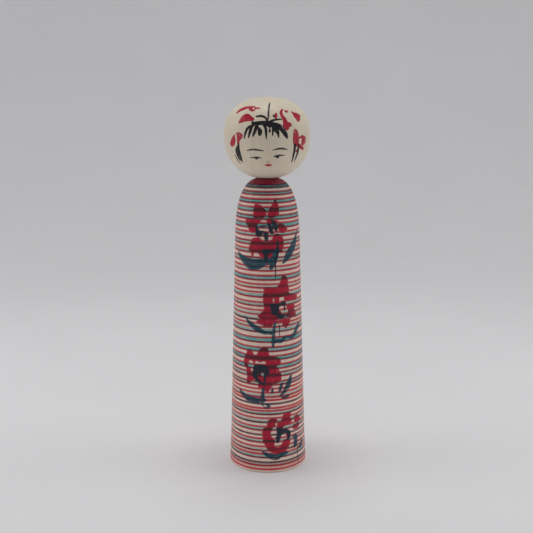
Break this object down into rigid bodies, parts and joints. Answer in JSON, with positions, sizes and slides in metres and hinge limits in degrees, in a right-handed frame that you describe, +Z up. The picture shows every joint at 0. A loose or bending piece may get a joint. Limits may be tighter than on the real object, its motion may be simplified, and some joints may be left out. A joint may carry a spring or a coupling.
{
  "type": "kokeshi doll",
  "caption": "Turned wooden doll: slender flared body with painted rings and flowers, and a ball head that turns on a hidden dowel.",
  "frame": {"origin": "centre of the flat base, on the surface it stands on", "axes": "+Z up along the turning axis to the crown; the face and the flowers look along -Y"},
  "size_m": [0.0542, 0.0542, 0.24],
  "materials": {
    "painted_body": "pale wood under fine rings of crimson and blue-green ink, with crimson flowers, dark blue leaves and a thin satin wax",
    "painted_head": "pale fine-grained wood with black and crimson brushwork and a thin satin wax",
    "bare_wood": "bare turned wood, matt"
  },
  "bodies": {
    "torso": {"body": "painted_body"},
    "head": {"head": "painted_head", "neck_peg": "bare_wood"}
  },
  "joints": [
    {"name": "head_turn", "type": "hinge", "parent": "torso", "child": "head", "pos_m": [0, 0, 0.1896], "axis": [0, 0, 1], "continuous": true}
  ]
}
